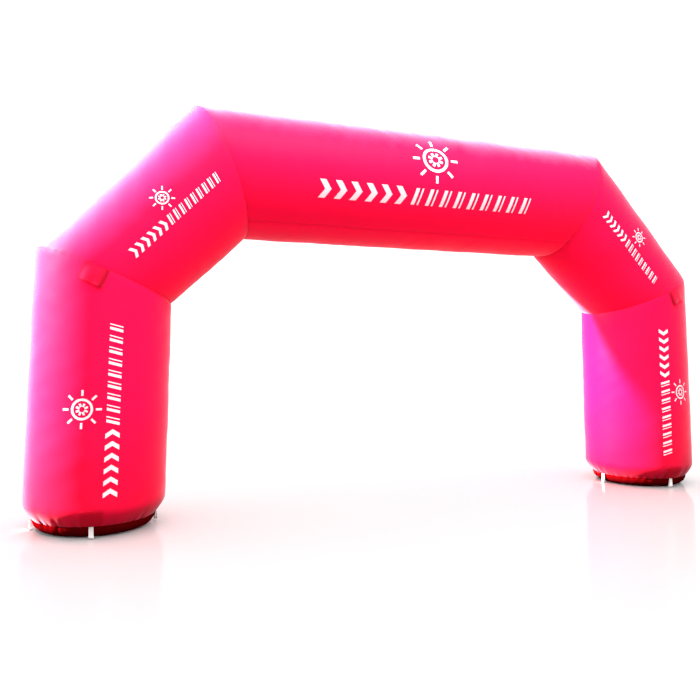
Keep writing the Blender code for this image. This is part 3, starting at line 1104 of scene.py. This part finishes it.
# Stitches along several lines, each a row of points, the directions out of the cloth there,
# and whether the line closes on itself.
def stitchPiece(name, lines, tree, thread, pitch=stitch["pitch"], length=stitch["length"]):
    points, edges, outs = [], [], []
    for line, out, closed in lines:
        first = len(points)
        count = len(line)
        points += line.tolist()
        outs += np.broadcast_to(out, line.shape).ravel().tolist()
        edges += [(first + i, first + i + 1) for i in range(count - 1)]
        if closed:
            edges.append((first + count - 1, first))
    mesh = bpy.data.meshes.new(name + "_line")
    mesh.from_pydata(points, edges, [])
    attribute = mesh.attributes.new("outOfCloth", "FLOAT_VECTOR", "POINT")
    attribute.data.foreach_set("vector", outs)
    holder = addPiece(mesh)
    modifier = holder.modifiers.new("stitches", "NODES")
    values = {"Pitch": pitch, "Stitch length": length, "Thread width": stitch["thread"],
              "Thread": thread}
    modifier.node_group = tree
    for socket in tree.interface.items_tree:
        if socket.in_out == "INPUT" and socket.name in values:
            modifier[socket.identifier] = values[socket.name]
    ready = holder.evaluated_get(bpy.context.evaluated_depsgraph_get())
    made = bpy.data.meshes.new_from_object(ready)
    made.name = name
    bpy.data.objects.remove(holder)
    bpy.data.meshes.remove(mesh)
    return addPiece(made)


# A row of stitches beside a seam that runs round a tube.
def roundLine(tube, seam, toward):
    theta = np.linspace(0, 2 * pi, stitch["roundPoints"] + 1)[:-1]
    s = seamPlace(seam, theta) + toward * stitch["fromSeam"]
    return onTube(tube, theta, s, stitch["thread"] * stitch["seated"]), outward(tube, theta), True


# A row of stitches along a tube, at an angle and an offset round from it.
def lengthLine(tube, theta, offset):
    low = seamPlace(tube["start"], np.array(theta)) + stitch["lengthInset"]
    high = seamPlace(tube["end"], np.array(theta)) - stitch["lengthInset"]
    s = np.linspace(low, high, stitch["lengthPoints"])
    turned = theta + offset / tube["radii"][0] + 0 * s
    return onTube(tube, turned, s, stitch["thread"] * stitch["seated"]), outward(tube, turned), False


# Places along the four sides of a rectangle, a step at a time.
def rectangleLine(first, last, low, high, steps=24):
    share = np.arange(steps) / steps
    flat = np.ones(steps)
    x = np.concatenate([first + (last - first) * share, last * flat,
                        last + (first - last) * share, first * flat])
    y = np.concatenate([low * flat, low + (high - low) * share,
                        high * flat, high + (low - high) * share])
    return x, y


def buildBasePatchStitches(tree, thread):
    pieces = {}
    halfAngle = (basePatch["width"] / 2 - stitch["patchInset"]) / legRadius
    lift = basePatch["standOff"] + cloth["wall"] + stitch["thread"] * stitch["seated"]
    for name in sides:
        tube = tubes["leg_" + name]
        for face, toward in faces.items():
            middle = (pi / 2 - patchTurn[name]) * toward
            theta, s = rectangleLine(middle - halfAngle, middle + halfAngle,
                                     baseDepth + stitch["patchInset"],
                                     baseDepth + basePatch["top"] - stitch["patchInset"])
            line = (onTube(tube, theta, s, lift), outward(tube, theta), True)
            piece = "base_patch_" + name + "_" + face
            pieces[piece] = stitchPiece("stitches_" + piece, [line], tree, thread)
    return pieces


# The flap's hem is stitched along its three free sides.
def buildElbowPatchStitches(tree, thread):
    pieces = {}
    side = stitch["flapInset"] / elbowPatch["width"]
    bottom = 1 - stitch["flapInset"] / elbowPatch["depth"]
    share = np.linspace(0, 1, stitch["flapPoints"])
    across = np.concatenate([side + 0 * share, side + (1 - 2 * side) * share[1:-1],
                             1 - side + 0 * share])
    down = np.concatenate([bottom * share, bottom + 0 * share[1:-1], bottom * share[::-1]])
    lift = cloth["wall"] + stitch["thread"] * stitch["seated"]
    for name in sides:
        for face, toward in faces.items():
            points = elbowPatchPoints(name, toward, across, down, lift)
            out = elbowPatchPoints(name, toward, across, down, lift + 1.0) - points
            piece = "elbow_patch_" + name + "_" + face
            pieces[piece] = stitchPiece("stitches_" + piece, [(points, out, False)], tree, thread)
    return pieces


# A small rectangle of stitches holds the two ends of each loop's tape together.
def buildLoopStitches(tree, thread):
    pieces = {}
    halfWidth = loop["width"] / 2 - stitch["loopInset"]
    edge, z = rectangleLine(-halfWidth, halfWidth, -loop["neck"] + stitch["loopInset"],
                            -stitch["loopInset"])
    outer = loop["neckHalf"] + loop["tape"] / 2 + stitch["thread"] * stitch["seated"]
    for name in sides:
        for place in loopAngles(name):
            hung, away, across = loopPlace(name, place)
            points = (hung + away * outer + across * edge[:, None]
                      + np.array((0.0, 0.0, 1.0)) * z[:, None])
            piece = "loop_" + name + "_" + place
            pieces[piece] = stitchPiece("stitches_" + piece, [(points, away, True)], tree, thread,
                                        stitch["loopPitch"], stitch["loopLength"])
    return pieces


def buildStitches(tree, thread):
    pieces = {}
    seamAngle = pi - cloth["underHalfAngle"]
    for name in sides:
        leg = tubes["leg_" + name]
        shoulder = tubes["shoulder_" + name]
        lines = [roundLine(leg, leg["start"], 1), roundLine(leg, leg["end"], -1)]
        lines += [lengthLine(leg, -pi / 2, shift * stitch["betweenRows"]) for shift in (-0.5, 0.5)]
        pieces["leg_" + name] = stitchPiece("stitches_leg_" + name, lines, tree, thread)
        lines = [roundLine(shoulder, shoulder["start"], 1), roundLine(shoulder, shoulder["end"], -1)]
        lines += [lengthLine(shoulder, -pi / 2, shift * stitch["betweenRows"])
                  for shift in (-0.5, 0.5)]
        pieces["shoulder_" + name] = stitchPiece("stitches_shoulder_" + name, lines, tree, thread)
    beam = tubes["beam"]
    lines = [roundLine(beam, beam["start"], 1), roundLine(beam, beam["end"], -1)]
    for toward in (1, -1):
        for step in (0, 1):
            inwards = -toward * (stitch["fromSeam"] + step * stitch["betweenRows"])
            lines.append(lengthLine(beam, toward * seamAngle, inwards))
    pieces["beam"] = stitchPiece("stitches_beam", lines, tree, thread)
    return pieces


def main():
    addCamera()
    addStage()
    print("camera and light set")
    archCloth = clothMaterial("red nylon", clothFinish["arch"])
    baseCloth = clothMaterial("red nylon darkened as shade", clothFinish["base"])
    patchCloth = clothMaterial("doubled red nylon", clothFinish["patch"])
    flapCloth = clothMaterial("flap of red nylon darkened as shade", clothFinish["flap"])
    ink = inkMaterial()
    webbing = webbingMaterial()
    thread = threadMaterial("red thread", threadFinish["red"])
    whiteThread = threadMaterial("white thread", threadFinish["white"])
    print("materials made")

    panels = buildPanels(archCloth)
    bases = buildBases(baseCloth)
    print("tubes and bases sewn")
    basePatches = buildBasePatches(patchCloth)
    elbowPatches = buildElbowPatches(flapCloth)
    loops = buildLoops(webbing)
    print("patches and loops sewn on")
    prints = buildPrints(ink)
    tree = stitchTree()
    stitches = buildStitches(tree, thread)
    stitches.update(buildBasePatchStitches(tree, thread))
    stitches.update(buildElbowPatchStitches(tree, thread))
    stitches.update(buildLoopStitches(tree, whiteThread))
    print("print and stitches done")

    for group, slotName in ((panels, "arch_cloth"), (bases, "base_cloth"),
                            (basePatches, "patch_cloth"), (elbowPatches, "arch_cloth"),
                            (loops, "webbing")):
        for node, piece in group.items():
            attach(piece, "root")
            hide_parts(node)
    for piece in prints.values():
        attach(piece, "root")
    for name, piece in stitches.items():
        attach(piece, "root")
    for node, piece in {**panels, **bases}.items():
        goesWith = [group[key] for group in (prints, stitches)
                    for key in (node, node.replace("_panel", "")) if key in group]
        list(dict.fromkeys(goesWith))


main()
